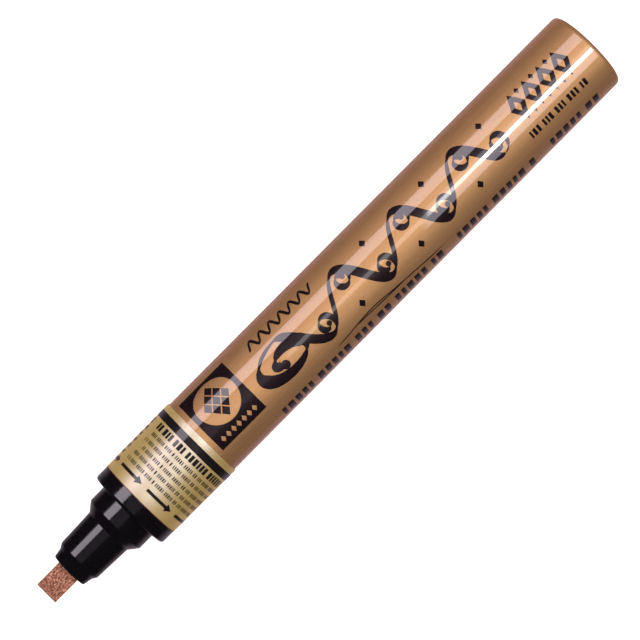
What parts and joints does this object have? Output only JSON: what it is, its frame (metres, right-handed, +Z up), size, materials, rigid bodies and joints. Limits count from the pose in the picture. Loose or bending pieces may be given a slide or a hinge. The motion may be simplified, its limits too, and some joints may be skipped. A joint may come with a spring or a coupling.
{
  "type": "calligraphy marker",
  "caption": "Valve-action calligraphy paint marker, uncapped: broad chisel nib, stepped nose, collar with a foil band, and a smooth round barrel with a flat closed end.",
  "frame": {"origin": "under the middle of the pen's length, on the surface that it lies on", "axes": "+X along the pen from nib to closed end, +Z up from the surface it lies on, with the nib's broad faces up and down"},
  "size_m": [0.1504, 0.0186, 0.0186],
  "materials": {
    "bronze_lacquer": "gold-bronze metallic lacquer on aluminium",
    "gold_foil": "satin gold metallised film",
    "black_plastic": "glossy moulded black",
    "inked_felt": "hard felt soaked with copper metallic ink",
    "natural_plastic": "natural polypropylene",
    "grey_rubber": "dark grey rubber",
    "spring_steel": "drawn stainless wire",
    "ball_steel": "polished steel ball"
  },
  "bodies": {
    "pen": {"barrel": "bronze_lacquer", "seal_band": "gold_foil", "collar": "black_plastic", "nose_holder": "black_plastic", "ink_buffer": "inked_felt", "nose_gasket": "grey_rubber", "barrel_gasket": "grey_rubber", "valve_body": "natural_plastic", "valve_seat": "grey_rubber", "valve_cage": "natural_plastic", "valve_spring": "spring_steel"},
    "nib_assembly": {"nib": "inked_felt", "nib_slider": "natural_plastic", "valve_stem": "natural_plastic"},
    "ball": {"mixing_ball": "ball_steel"}
  },
  "joints": [
    {"name": "nib_press", "type": "slide", "parent": "pen", "child": "nib_assembly", "axis": [1, 0, 0], "range_m": [0, 0.002], "stiffness_N_per_m": 1500, "deforming": ["valve_spring"]},
    {"name": "ball_roll", "type": "slide", "parent": "pen", "child": "ball", "axis": [1, 0, 0], "range_m": [-0.0485, 0.0457]}
  ]
}
